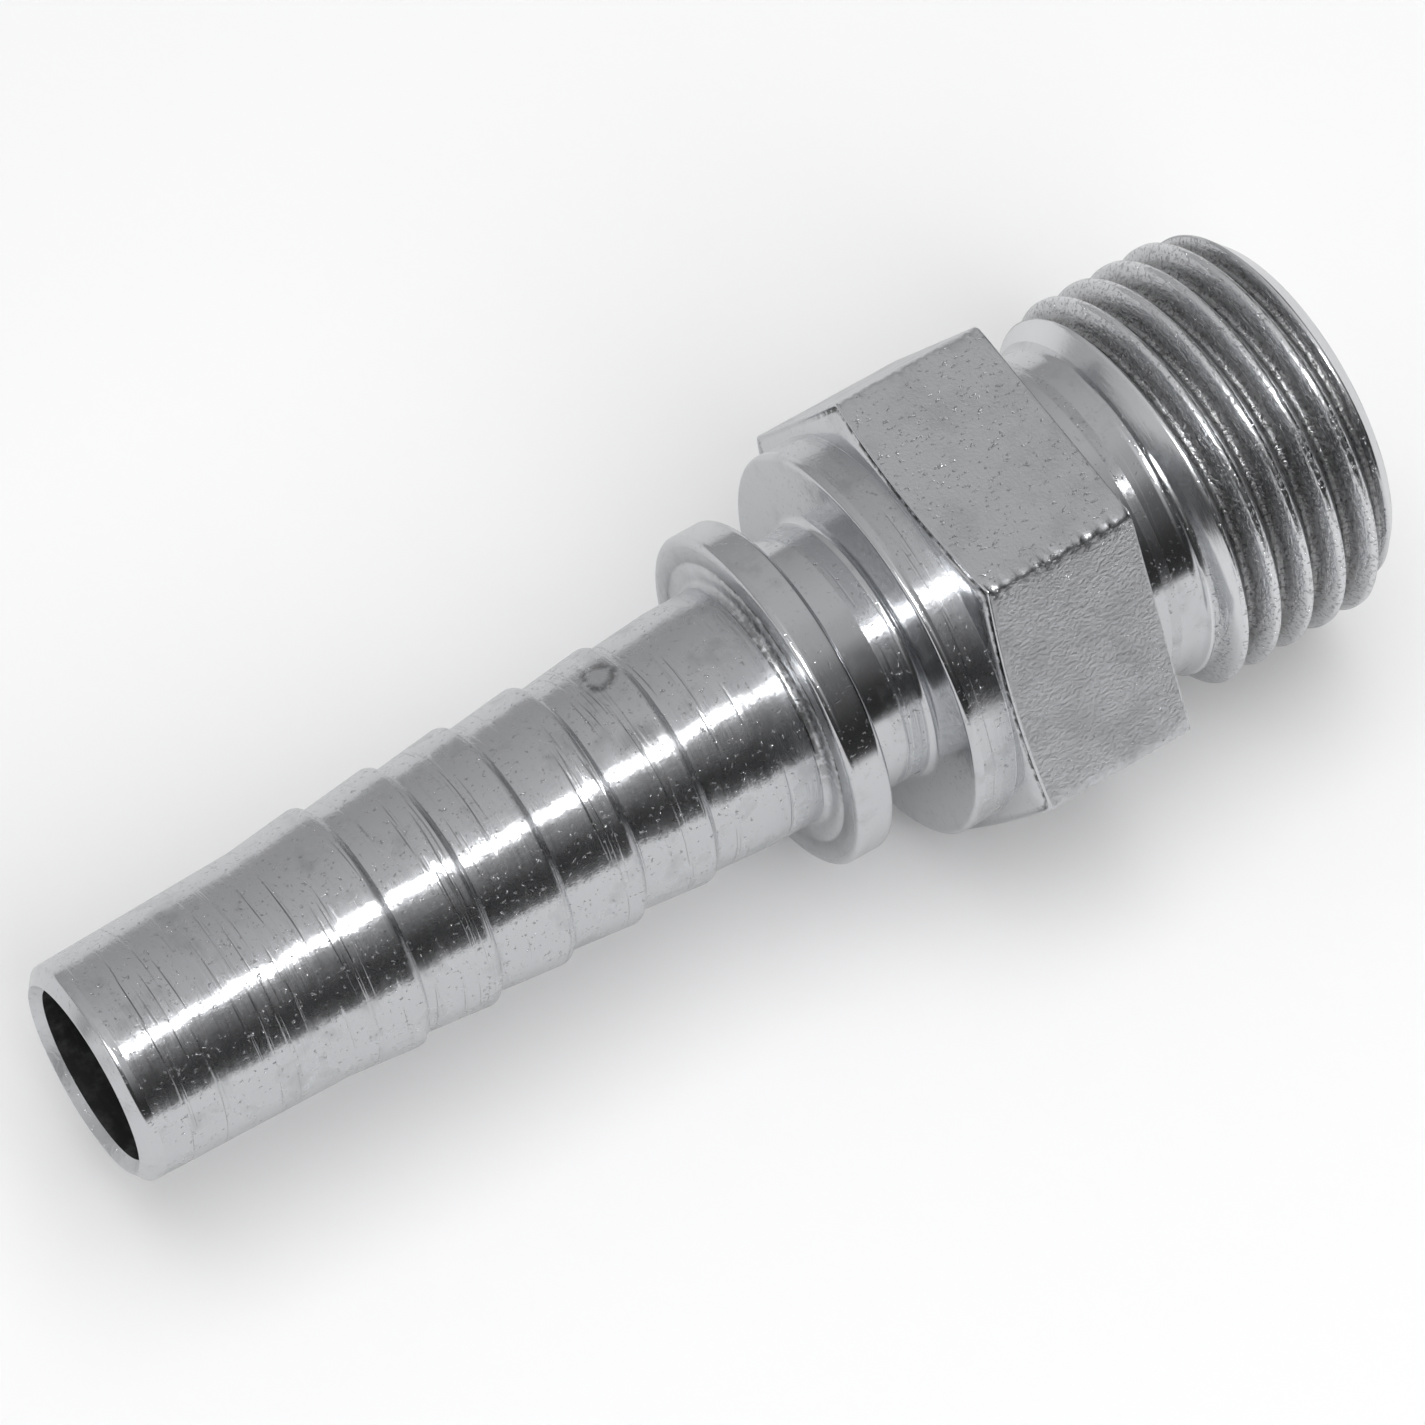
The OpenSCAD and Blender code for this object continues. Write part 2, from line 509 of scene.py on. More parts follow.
def surface_sockets(tree, sizes):
    """Gives the surface's tree its named inputs and its output."""
    face = tree.interface
    face.new_socket("Outline", in_out="INPUT", socket_type="NodeSocketGeometry")
    for name, value in sizes.items():
        kind = "NodeSocketInt" if isinstance(value, int) else "NodeSocketFloat"
        face.new_socket(name, in_out="INPUT", socket_type=kind)
    for name in FINISHES:
        face.new_socket(name, in_out="INPUT", socket_type="NodeSocketMaterial")
    face.new_socket("Surface", in_out="OUTPUT", socket_type="NodeSocketGeometry")


def crowded(nodes, sextants):
    """A place round the axis, in sixths of a turn, drawn towards the hexagon's corners."""
    within = nodes.calc("FRACT", sextants)
    swing = nodes.calc("MULTIPLY", nodes.calc("SINE", nodes.calc("MULTIPLY", within, 2 * pi)),
                       nodes.calc("DIVIDE", nodes.given["Corner Crowding"], 2 * pi))
    return nodes.calc("SUBTRACT", sextants, swing)


def hexagon_radius(nodes, off_corner):
    """Radius of the hexagon with rounded corners, by the angle from the nearest corner."""
    corner_radius = nodes.given["Corner Radius"]
    half_flats = nodes.calc("MULTIPLY", nodes.given["Across Flats"], 0.5)
    off_middle = nodes.calc("SUBTRACT", pi / 6, off_corner)
    flat_radius = nodes.calc("DIVIDE", half_flats, nodes.calc("COSINE", off_middle))
    centre = nodes.calc("DIVIDE", nodes.calc("SUBTRACT", half_flats, corner_radius), cos(pi / 6))
    aside = nodes.calc("MULTIPLY", centre, nodes.calc("SINE", off_corner))
    rise = nodes.calc("SUBTRACT", nodes.calc("POWER", corner_radius, 2), nodes.calc("POWER", aside, 2))
    rise = nodes.calc("SQRT", nodes.calc("MAXIMUM", rise, 0))
    out = nodes.calc("MULTIPLY", centre, nodes.calc("COSINE", off_corner))
    limit = nodes.calc("DIVIDE", nodes.calc("MULTIPLY", corner_radius, 0.5), centre)
    on_corner = nodes.calc("LESS_THAN", off_corner, limit)
    return nodes.blend(on_corner, flat_radius, nodes.calc("ADD", out, rise))


def nicks(nodes, along, sextants, off_corner):
    """Depth of the small nicks along the hexagon's corners, the same at both ends of the turn."""
    turned = nodes.calc("MODULO", nodes.calc("ADD", sextants, 0.5), 6)
    scale = nodes.calc("DIVIDE", 1.0, nodes.given["Nick Size"])
    uneven = nodes.noise(nodes.join(along, turned, 0), scale, detail=3.0)
    bite = nodes.blend_range(uneven, nick_from, nick_full)
    near_corner = nodes.blend_range(off_corner, 0.0, nick_reach, 1.0, 0.0)
    return nodes.calc("MULTIPLY", nodes.calc("MULTIPLY", bite, near_corner), nodes.given["Nick Depth"])


def thread_values(nodes, ring_x, turn):
    """Place along the axis, radius of the blank and radius of the thread cut into it.

    A ring's place moves one pitch in a whole turn, held between the thread's ends.
    """
    given = nodes.given
    along = nodes.calc("ADD", ring_x, nodes.calc("MULTIPLY", given["Pitch"], turn))
    along = nodes.calc("MAXIMUM", along, given["Thread Start"])
    along = nodes.calc("MINIMUM", along, given["Thread End"])
    from_crest = nodes.calc("PINGPONG", nodes.calc("SUBTRACT", ring_x, given["Crest Place"]),
                            nodes.calc("MULTIPLY", given["Pitch"], 0.5))
    off_flat = nodes.calc("SUBTRACT", from_crest, nodes.calc("MULTIPLY", given["Crest Flat"], 0.5))
    drop = nodes.calc("MULTIPLY", given["Flank Slope"], off_flat)
    drop = nodes.calc("SMOOTH_MAX", drop, 0.0, given["Crest Blend"])
    drop = nodes.calc("SMOOTH_MIN", drop, given["Thread Depth"], given["Root Blend"])
    start_cone = nodes.calc("ADD", given["Start Radius"],
                            nodes.calc("SUBTRACT", along, given["Thread Start"]))
    end_cone = nodes.calc("ADD", given["End Radius"], nodes.calc("SUBTRACT", given["Thread End"], along))
    blank = nodes.calc("MINIMUM", given["Thread Radius"], nodes.calc("MINIMUM", start_cone, end_cone))
    cut = nodes.calc("MINIMUM", nodes.calc("SUBTRACT", given["Thread Radius"], drop), blank)
    return along, blank, cut


def moved_points(nodes, grid, place, radius, turn):
    """The grid's points at their place and radius in millimetres, turned about the axis."""
    angle = nodes.calc("MULTIPLY", turn, 2 * pi)
    radius = nodes.calc("MULTIPLY", radius, MM)
    x = nodes.calc("ADD", nodes.calc("MULTIPLY", place, MM), nodes.given["Tip Place"])
    y = nodes.calc("MULTIPLY", radius, nodes.calc("COSINE", angle))
    z = nodes.calc("ADD", nodes.given["Axis Height"],
                   nodes.calc("MULTIPLY", radius, nodes.calc("SINE", angle)))
    shaped = nodes.add("GeometryNodeSetPosition")
    nodes.feed(shaped.inputs["Geometry"], grid)
    nodes.feed(shaped.inputs["Position"], nodes.join(x, y, z))
    return shaped.outputs[0]


def joined(nodes, surface):
    """The surface, closed where its rows and columns meet, smooth and without instances."""
    welded = nodes.add("GeometryNodeMergeByDistance")
    nodes.feed(welded.inputs["Geometry"], surface)
    nodes.feed(welded.inputs["Distance"], nodes.given["Weld Distance"])
    smooth = nodes.add("GeometryNodeSetShadeSmooth")
    nodes.feed(smooth.inputs["Geometry"], welded.outputs[0])
    real = nodes.add("GeometryNodeRealizeInstances")
    nodes.feed(real.inputs["Geometry"], smooth.outputs[0])
    return real.outputs[0]


def coated(nodes, surface):
    """The surface with each face's material, by the number of its finish."""
    finish = nodes.named("finish")
    tolerance = 0.1
    for number, name in enumerate(FINISHES):
        coat = nodes.add("GeometryNodeSetMaterial")
        nodes.feed(coat.inputs["Geometry"], surface)
        nodes.feed(coat.inputs["Selection"], nodes.calc("COMPARE", finish, number, tolerance))
        nodes.feed(coat.inputs["Material"], nodes.given[name])
        surface = coat.outputs[0]
    return surface


def surface_tree(sizes):
    """The tree that makes the surface from its outline."""
    tree = bpy.data.node_groups.new("fitting_surface", "GeometryNodeTree")
    surface_sockets(tree, sizes)
    nodes = SurfaceNodes(tree)
    given = nodes.given

    # A grid with a row for each ring and a column for each step round the axis
    count = nodes.add("GeometryNodeAttributeDomainSize", component="MESH")
    nodes.feed(count.inputs["Geometry"], given["Outline"])
    rows = count.outputs["Point Count"]
    columns = nodes.calc("MULTIPLY", given["Flat Columns"], 6)
    grid = nodes.add("GeometryNodeMeshGrid")
    nodes.feed(grid.inputs["Vertices X"], nodes.calc("ADD", columns, 1))
    nodes.feed(grid.inputs["Vertices Y"], rows)
    index = nodes.add("GeometryNodeInputIndex").outputs[0]
    ring = nodes.calc("MODULO", index, rows)
    column = nodes.calc("FLOOR", nodes.calc("DIVIDE", nodes.calc("ADD", index, 0.5), rows))

    # Place round the axis
    sextants = crowded(nodes, nodes.calc("DIVIDE", column, given["Flat Columns"]))
    turn = nodes.calc("DIVIDE", sextants, 6)
    off_corner = nodes.calc("MULTIPLY", nodes.calc("PINGPONG", sextants, 0.5), pi / 3)

    # Place along the axis and radius, of a plain ring or of one that follows the thread
    position = nodes.add("GeometryNodeInputPosition").outputs[0]
    spot = nodes.parts(nodes.at_ring(position, ring, "FLOAT_VECTOR"))
    share, lean, wave = [nodes.at_ring(nodes.named(name), ring) for name in ("share", "lean", "wave")]
    reach = nodes.calc("SUBTRACT", hexagon_radius(nodes, off_corner), given["Shoulder Radius"])
    lean_out = nodes.calc("MULTIPLY", nodes.calc("MULTIPLY", lean, reach), given["Facing Slope"])
    nicked = nodes.calc("SUBTRACT", reach, nicks(nodes, spot["X"], sextants, off_corner))
    plain_place = nodes.calc("ADD", spot["X"], lean_out)
    plain_radius = nodes.calc("ADD", spot["Y"], nodes.calc("MULTIPLY", share, nicked))
    along, blank_radius, cut_radius = thread_values(nodes, spot["X"], turn)
    place = nodes.blend(wave, plain_place, along)
    radius = nodes.blend(wave, plain_radius, cut_radius)
    surface = moved_points(nodes, grid.outputs["Mesh"], place, radius, turn)

    # What the finishes read, kept on the faces' corners so that the seam stays clean
    depth = nodes.calc("DIVIDE", nodes.calc("SUBTRACT", blank_radius, cut_radius), given["Thread Depth"])
    values = {name: nodes.at_ring(nodes.named(name), ring) for name in ("run", "marks", "soil")}
    values["depth"] = nodes.calc("MULTIPLY", depth, wave)
    values["chamfer"] = nodes.calc("SUBTRACT", given["Thread Radius"], blank_radius)
    for name, value in values.items():
        surface = nodes.store(surface, name, nodes.at_points(value), "CORNER")
    face_ring = nodes.calc("MODULO", index, nodes.calc("SUBTRACT", rows, 1))
    surface = nodes.store(surface, "finish", nodes.at_ring(nodes.named("finish"), face_ring), "FACE")

    end = nodes.add("NodeGroupOutput")
    nodes.feed(end.inputs["Surface"], coated(nodes, joined(nodes, surface)))
    return tree


def set_input(modifier, name, value):
    """Sets a modifier's input, found by its name, through its identifier."""
    socket = next(item for item in modifier.node_group.interface.items_tree
                  if item.item_type == "SOCKET" and item.in_out == "INPUT" and item.name == name)
    modifier[socket.identifier] = value


def make_surface(materials):
    """The fitting's surface as a plain mesh."""
    rings = tail_rings() + hexagon_rings() + thread_rings() + mouth_rings()
    rings.append(rings[0])
    sizes = surface_sizes()
    former = bpy.data.objects.new("fitting_outline", outline_mesh(rings))
    bpy.context.scene.collection.objects.link(former)
    modifier = former.modifiers.new("surface", "NODES")
    modifier.node_group = surface_tree(sizes)
    for name, value in (sizes | dict(zip(FINISHES, materials))).items():
        set_input(modifier, name, value)
    graph = bpy.context.evaluated_depsgraph_get()
    mesh = bpy.data.meshes.new_from_object(former.evaluated_get(graph))
    mesh.name = "fitting_surface"
    bpy.data.objects.remove(former)
    piece = bpy.data.objects.new("fitting_surface", mesh)
    bpy.context.scene.collection.objects.link(piece)
    return piece


# Shared effects of the finishes

def shader_group(name, inputs, output):
    """Nodes of a new shader group, its inputs by name and the socket that it puts out."""
    tree = bpy.data.node_groups.new(name, "ShaderNodeTree")
    for title, value in inputs.items():
        kind = "NodeSocketVector" if value is None else "NodeSocketFloat"
        socket = tree.interface.new_socket(title, in_out="INPUT", socket_type=kind)
        if value is not None:
            socket.default_value = value
    tree.interface.new_socket(output, in_out="OUTPUT", socket_type="NodeSocketFloat")
    nodes = Nodes(tree)
    return nodes, nodes.add("NodeGroupInput").outputs, nodes.add("NodeGroupOutput").inputs[output]


def tool_rings_group():
    """Height of the rings that a cutting tool leaves round the axis, broken up as they go round."""
    nodes, given, out = shader_group("tool_rings", {"Spot": None, "Run": 0.0, "Spacing": 0.15,
                                                    "Breaks": 0.5, "Depth": 0.01}, "Height")
    spot = nodes.parts(given["Spot"])
    along = nodes.calc("DIVIDE", given["Run"], given["Spacing"])
    y = nodes.calc("MULTIPLY", spot["Y"], given["Breaks"])
    z = nodes.calc("MULTIPLY", spot["Z"], given["Breaks"])

    def rings(along_scale, round_scale, detail, roughness=0.5):
        """Noise in rings, with its own scale along the axis and round it."""
        place = nodes.join(nodes.calc("MULTIPLY", along, along_scale),
                           nodes.calc("MULTIPLY", y, round_scale),
                           nodes.calc("MULTIPLY", z, round_scale))
        return nodes.noise(place, 1.0, detail, roughness)

    # Narrow and broad rings about their middle height, with a few deeper scores
    broad_weight = 2.0
    middle = 0.5 + 0.5 * broad_weight
    narrow = rings(along_scale=1.0, round_scale=1.0, detail=2.0, roughness=0.6)
    broad = rings(along_scale=0.23, round_scale=1.0, detail=1.0)
    few = rings(along_scale=0.6, round_scale=0.3, detail=2.0)
    both = nodes.calc("ADD", narrow, nodes.calc("MULTIPLY", broad, broad_weight))
    both = nodes.calc("SUBTRACT", both, nodes.blend_range(few, start=0.57, end=0.66, high_out=1.1))
    nodes.feed(out, nodes.calc("MULTIPLY", nodes.calc("SUBTRACT", both, middle), given["Depth"]))
    return nodes.tree


def patches_group():
    """A mask of uneven patches, from pits to broad stains by their size."""
    nodes, given, out = shader_group("patches", {"Spot": None, "Size": 2.0, "From": 0.5, "To": 0.7},
                                     "Mask")
    scale = nodes.calc("DIVIDE", 1.0, given["Size"])
    uneven = nodes.noise(given["Spot"], scale, detail=3.0, roughness=0.6)
    nodes.feed(out, nodes.blend_range(uneven, given["From"], given["To"]))
    return nodes.tree


tool_rings = tool_rings_group()
patches = patches_group()


# Finishes

# A dark ring-shaped stain and a dull spot on the tail, as places in the frame, and the
# share of a spot's size over which it is full
stain_spot = (-3.39, 1.82, 12.92)
stain_size = 0.9
dull_spot = (-3.57, -1.64, 12.99)
dull_spot_size = 1.3
spot_core = 0.3

# Direction of the side that gets painted shade, and how far along it the painted shade begins and is full
shaded_side = (0, -0.44, 0.90)
shade_start = 10.0
shade_full = 12.5

# Heights in the frame between which fine dark specks set in, on the upper side
specked_from = 10.4
specked_full = 11.2

zinc = (0.66, 0.67, 0.69)
dull_zinc = (0.40, 0.405, 0.415)
# Colours painted as shade in the thread's roots and as highlight on its crests
root_shade_zinc = (0.31, 0.31, 0.315)
crest_highlight_zinc = (0.80, 0.81, 0.83)
# Dark colour for pits, specks and the stain, and for painted shade
grime_and_shade = (0.10, 0.10, 0.10)
# Near-black colours painted as the shade inside the bore
bore_shade_dark = (0.03, 0.03, 0.031)
bore_shade_pale = (0.07, 0.07, 0.072)


class Finish(Nodes):
    """A material with a metal shader, and the nodes that build its look in millimetres."""

    def __init__(self, name, anisotropy=0.0):
        self.material = bpy.data.materials.new(name)
        self.material.use_nodes = True
        super().__init__(self.material.node_tree)
        self.shader = self.tree.nodes["Principled BSDF"]
        self.shader.inputs["Metallic"].default_value = 1
        self.shader.inputs["Anisotropic"].default_value = anisotropy
        if anisotropy:
            self.shader.inputs["Anisotropic Rotation"].default_value = 0.25
            tangent = self.add("ShaderNodeTangent", direction_type="RADIAL", axis="X")
            self.feed(self.shader.inputs["Tangent"], tangent.outputs[0])
        scaled = self.add("ShaderNodeVectorMath", operation="SCALE")
        self.feed(scaled.inputs[0], self.add("ShaderNodeTexCoord").outputs["Object"])
        self.feed(scaled.inputs["Scale"], 1 / MM)
        self.spot = scaled.outputs[0]

    def stored(self, name):
        """A value kept on the surface under a name."""
        return self.add("ShaderNodeAttribute", attribute_name=name).outputs["Fac"]

    def effect(self, group, **values):
        """The output of a shared effect with its own values."""
        made = self.add("ShaderNodeGroup")
        made.node_tree = group
        for name, value in ({"Spot": self.spot} | values).items():
            self.feed(made.inputs[name], value)
        return made.outputs[0]

    def near(self, place, size):
        """A mask that fades from 1 at a place in millimetres to 0 at a distance from it."""
        away = self.add("ShaderNodeVectorMath", operation="DISTANCE")
        self.feed(away.inputs[0], self.spot)
        self.feed(away.inputs[1], place)
        return self.blend_range(away.outputs["Value"], size * spot_core, size, 1.0, 0.0)

    def raised(self, value, mask, by):
        """A height or roughness, raised where a mask says, or lowered where the amount is negative."""
        return self.calc("MULTIPLY_ADD", mask, by, value)

    def tinted(self, color, tint, mask, amount):
        """A colour, tinted by an amount where a mask says."""
        return self.blend_color(self.calc("MULTIPLY", mask, amount), color, tint)

    def shaded(self, color):
        """A colour with painted shade: dark dotted patches where the surface's painted shade is set, on one
        side of the fitting.
        """
        mask = self.effect(patches, Size=0.3, From=0.36, To=0.56)
        mask = self.calc("MULTIPLY", mask, self.stored("soil"))
        toward = self.add("ShaderNodeVectorMath", operation="DOT_PRODUCT")
        self.feed(toward.inputs[0], self.spot)
        self.feed(toward.inputs[1], shaded_side)
        shade_side_mask = self.blend_range(toward.outputs["Value"], shade_start, shade_full)
        return self.blend_color(self.calc("MULTIPLY", mask, shade_side_mask), color, grime_and_shade)

    def done(self, color, roughness, height):
        """The material, once its colour, its roughness and its height are given."""
        bump = self.add("ShaderNodeBump")
        self.feed(bump.inputs["Strength"], 1.0)
        self.feed(bump.inputs["Distance"], MM)
        self.feed(bump.inputs["Height"], height)
        self.feed(self.shader.inputs["Base Color"], color)
        self.feed(self.shader.inputs["Roughness"], roughness)
        self.feed(self.shader.inputs["Normal"], bump.outputs[0])
        return self.material


def zinc_turned():
    """Zinc over fresh tool rings, with pits, dull patches, a stain, specks on its upper side and painted
    shade.
    """
    look = Finish("zinc_turned", anisotropy=1.0)
    rings = look.effect(tool_rings, Run=look.stored("run"), Spacing=0.22, Breaks=0.4, Depth=0.029)
    rings = look.calc("MULTIPLY", rings, look.stored("marks"))
    pits = look.effect(patches, Size=0.19, From=0.63, To=0.7)
    grain = look.noise(look.spot, scale=5.0, detail=2.0, roughness=0.6)
    height = look.raised(look.raised(rings, pits, by=-0.014), grain, by=0.005)

    dull = look.effect(patches, Size=1.6, From=0.52, To=0.75)
    worn = look.near(dull_spot, dull_spot_size)
    dull = look.calc("MAXIMUM", dull, look.calc("MULTIPLY", worn, 2.0))
    upper = look.blend_range(look.parts(look.spot)["Z"], specked_from, specked_full)
    specks = look.calc("MULTIPLY", look.effect(patches, Size=0.2, From=0.62, To=0.7), upper)
    # A mask times its opposite leaves the ring between a spot's middle and its edge
    spot = look.near(stain_spot, stain_size)
    stain = look.calc("MULTIPLY", spot, look.calc("SUBTRACT", 1.0, spot))
    stain = look.calc("MULTIPLY", stain, look.effect(patches, Size=0.35, From=0.35, To=0.6))

    color = look.tinted(zinc, dull_zinc, dull, amount=0.35)
    color = look.tinted(color, grime_and_shade, pits, amount=0.35)
    color = look.tinted(color, grime_and_shade, specks, amount=0.3)
    color = look.tinted(color, grime_and_shade, stain, amount=2.6)
    roughness = look.raised(0.27, dull, by=0.06)
    return look.done(look.shaded(color), roughness, height)


def zinc_burnished():
    """Smooth zinc, on the stretches that the tool rubbed and on the hexagon's front face, with painted
    shade.
    """
    look = Finish("zinc_burnished")
    rings = look.effect(tool_rings, Run=look.stored("run"), Spacing=0.3, Breaks=0.5, Depth=0.0015)
    dull = look.effect(patches, Size=1.2, From=0.5, To=0.75)
    pits = look.effect(patches, Size=0.18, From=0.62, To=0.7)
    color = look.tinted(zinc, dull_zinc, dull, amount=0.3)
    color = look.tinted(color, grime_and_shade, pits, amount=0.15)
    roughness = look.raised(0.14, dull, by=0.1)
    return look.done(look.shaded(color), roughness, look.raised(rings, pits, by=-0.004))


def zinc_drawn():
    """Dull zinc over the drawn bar's own pitted, finely scored skin, with painted shade."""
    look = Finish("zinc_drawn")
    turned = look.add("ShaderNodeMapping")
    look.feed(turned.inputs["Vector"], look.spot)
    look.feed(turned.inputs["Rotation"], (0, 0.9, 0.4))
    look.feed(turned.inputs["Scale"], (4.0, 8.0, 8.0))
    scores = look.noise(turned.outputs[0], scale=1.0, detail=3.0, roughness=0.6)
    grain = look.noise(look.spot, scale=7.0, detail=3.0, roughness=0.6)
    pits = look.effect(patches, Spot=turned.outputs[0], Size=1.2, From=0.6, To=0.7)
    height = look.raised(look.calc("MULTIPLY", grain, 0.02), scores, by=0.006)
    height = look.raised(height, pits, by=-0.016)
    dull = look.effect(patches, Size=1.8, From=0.4, To=0.7)
    color = look.tinted(zinc, dull_zinc, dull, amount=0.3)
    color = look.tinted(color, grime_and_shade, pits, amount=0.15)
    roughness = look.raised(0.28, dull, by=0.08)
    return look.done(look.shaded(color), roughness, height)


def zinc_threaded():
    """Zinc on the thread: brighter on its crests, as rubbed zinc with a painted highlight, dull and darker
    in its roots, as grime with painted shade, smooth on its chamfers.
    """
    look = Finish("zinc_threaded")
    depth = look.stored("depth")
    # Streaks are drawn out round the axis, because the noise is finer along it
    spot = look.parts(look.spot)
    along = look.calc("MULTIPLY", spot["X"], 7.0)
    streaks = look.noise(look.join(along, spot["Y"], spot["Z"]), scale=1.0, detail=3.0, roughness=0.6)
    off_chamfer = look.blend_range(look.stored("chamfer"), start=0.02, end=0.12, low_out=1.0, high_out=0.15)
    rough = look.calc("MAXIMUM", off_chamfer, look.blend_range(depth, start=0.05, end=0.2))
    pits = look.calc("MULTIPLY", look.effect(patches, Size=0.16, From=0.56, To=0.66), rough)
    grain = look.calc("MULTIPLY", look.noise(look.spot, scale=9.0, detail=2.0, roughness=0.6), depth)
    height = look.raised(look.calc("MULTIPLY", streaks, 0.04), pits, by=-0.02)
    height = look.raised(look.calc("MULTIPLY", height, rough), grain, by=0.05)

    # Crests get a brighter colour: rubbed zinc and a painted highlight
    rubbed_crest_highlight = look.blend_range(depth, start=0.02, end=0.16, low_out=1.0, high_out=0.0)
    # Roots get darker with depth, streaked like grime: painted shade with grime
    root_grime_and_shade = look.calc("MULTIPLY", look.blend_range(depth, start=0.15, end=0.8),
                     look.raised(0.45, streaks, by=0.8))
    # Dark mottling grows with depth: painted shade in the roots
    mottle_and_root_shade = look.calc("MULTIPLY", look.effect(patches, Size=0.2, From=0.5, To=0.62),
                       look.calc("MULTIPLY", depth, 0.7))
    spots_and_root_shade = look.calc("MAXIMUM", look.calc("MULTIPLY", pits, 0.3), mottle_and_root_shade)
    color = look.blend_color(rubbed_crest_highlight, zinc, crest_highlight_zinc)
    color = look.blend_color(look.calc("MINIMUM", root_grime_and_shade, 1.0), color, root_shade_zinc)
    color = look.blend_color(spots_and_root_shade, color, grime_and_shade)
    roughness = look.raised(0.2, root_grime_and_shade, by=0.12)
    return look.done(color, roughness, height)


def zinc_drilled():
    """The bore's wall, painted near black and without metal sheen as the shade deep in the bore."""
    look = Finish("zinc_drilled")
    look.shader.inputs["Metallic"].default_value = 0
    look.shader.inputs["Specular IOR Level"].default_value = 0.05
    rings = look.effect(tool_rings, Run=look.stored("run"), Spacing=0.4, Breaks=0.4, Depth=0.01)
    dull = look.effect(patches, Size=0.8, From=0.4, To=0.7)
    color = look.blend_color(dull, bore_shade_dark, bore_shade_pale)
    roughness = look.raised(0.6, dull, by=0.1)
    return look.done(color, roughness, rings)


# Camera

view_heading = 35.378
view_drop = 58.844
view_roll = 2.024
view_distance = 0.26039
view_aim = Vector((0.70752, 0.31727, 8.90404)) * MM
view_lens = 177.524
sensor_w = 36


def make_camera():
    """The camera at the photograph's viewing angle."""
    heading = radians(view_heading)
    drop = radians(view_drop)
    roll = radians(view_roll)
    forward = Vector((sin(heading) * cos(drop), cos(heading) * cos(drop), -sin(drop)))
    level = Vector((cos(heading), -sin(heading), 0))
    raised = level.cross(forward)
    right = level * cos(roll) + raised * sin(roll)
    up = right.cross(forward)
    data = bpy.data.cameras.new("camera")
    data.sensor_width = sensor_w
    data.lens = view_lens
    data.clip_start = 0.01
    camera = bpy.data.objects.new("camera", data)
    bpy.context.scene.collection.objects.link(camera)
    turned = Matrix((right, up, -forward)).transposed().to_4x4()
    camera.matrix_world = Matrix.Translation(view_aim - forward * view_distance) @ turned
    bpy.context.scene.camera = camera


# Floor

floor_reach = 3.0
# Colour of the floor as the camera sees it, and for the metal and the light a painted
# shade that darkens it to the front between two places across it
floor_color = (0.95, 0.95, 0.955)
floor_front_y = -0.30
floor_back_y = -0.17
floor_front_level = 0.35
floor_back_level = 0.76


def make_floor():
    """A pale floor, plain to the camera, with painted shade toward the front for the metal and the light.
    """
    mesh = bpy.data.meshes.new("floor")
    corners = [(x * floor_reach, y * floor_reach, 0) for x, y in ((-1, -1), (1, -1), (1, 1), (-1, 1))]
    mesh.from_pydata(corners, [], [(0, 1, 2, 3)])
    floor = bpy.data.objects.new("floor", mesh)
    bpy.context.scene.collection.objects.link(floor)
    material = bpy.data.materials.new("pale_floor")
    material.use_nodes = True
    nodes = Nodes(material.node_tree)
    shader = nodes.tree.nodes["Principled BSDF"]
    shader.inputs["Roughness"].default_value = 0.9
    shader.inputs["Specular IOR Level"].default_value = 0.0
    seen = nodes.add("ShaderNodeLightPath").outputs["Is Camera Ray"]
    across = nodes.parts(nodes.add("ShaderNodeTexCoord").outputs["Object"])["Y"]
    painted_floor_shade = nodes.blend_range(across, floor_front_y, floor_back_y, floor_front_level, floor_back_level)
    nodes.feed(shader.inputs["Base Color"], nodes.blend_color(seen, painted_floor_shade, floor_color))
    mesh.materials.append(material)


# Studio

# Brightness of the studio by the angle about the fitting's axis, in degrees from the
# horizon behind the fitting, over the zenith, to the horizon in front of it: square to
# the axis, and at a slant to it
square_levels = [(0, 0.38), (27, 0.42), (60, 0.50), (80, 0.60), (95, 0.72), (119, 0.64),
                 (127, 0.48), (138, 0.25), (150, 0.085), (162, 0.035), (180, 0.035)]
slanted_levels = [(0, 0.36), (27, 0.44), (60, 0.53), (77, 0.54), (85, 0.52), (93, 0.45), (108, 0.41),
                  (115.6, 0.256), (123, 0.14), (138, 0.09), (150, 0.045), (162, 0.03), (180, 0.03)]
# How far along the axis a direction points where the slanted levels set in and are full
slant_from = 0.15
slant_full = 0.34
# Share of the brightness that is left toward the thread's end of the studio
thread_end_from = 0.5
thread_end_full = 0.85
thread_end_share = 0.15
# Brightness of the studio's far end on the tail's side
tail_end_from = -0.93
tail_end_full = -0.98
tail_end_level = 0.85
backdrop_color = (0.82, 0.82, 0.83, 1)


def level_ramp(nodes, angle, levels):
    """A brightness by an angle in radians, from its levels at angles in degrees."""
    ramp = nodes.add("ShaderNodeValToRGB")
    stops = ramp.color_ramp.elements
    stops.remove(stops[0])
    stops[0].position = levels[0][0] / 180
    stops[0].color = (*[levels[0][1]] * 3, 1)
    for place, level in levels[1:]:
        stops.new(place / 180).color = (level, level, level, 1)
    nodes.feed(ramp.inputs["Fac"], nodes.calc("DIVIDE", angle, pi))
    return ramp.outputs["Color"]


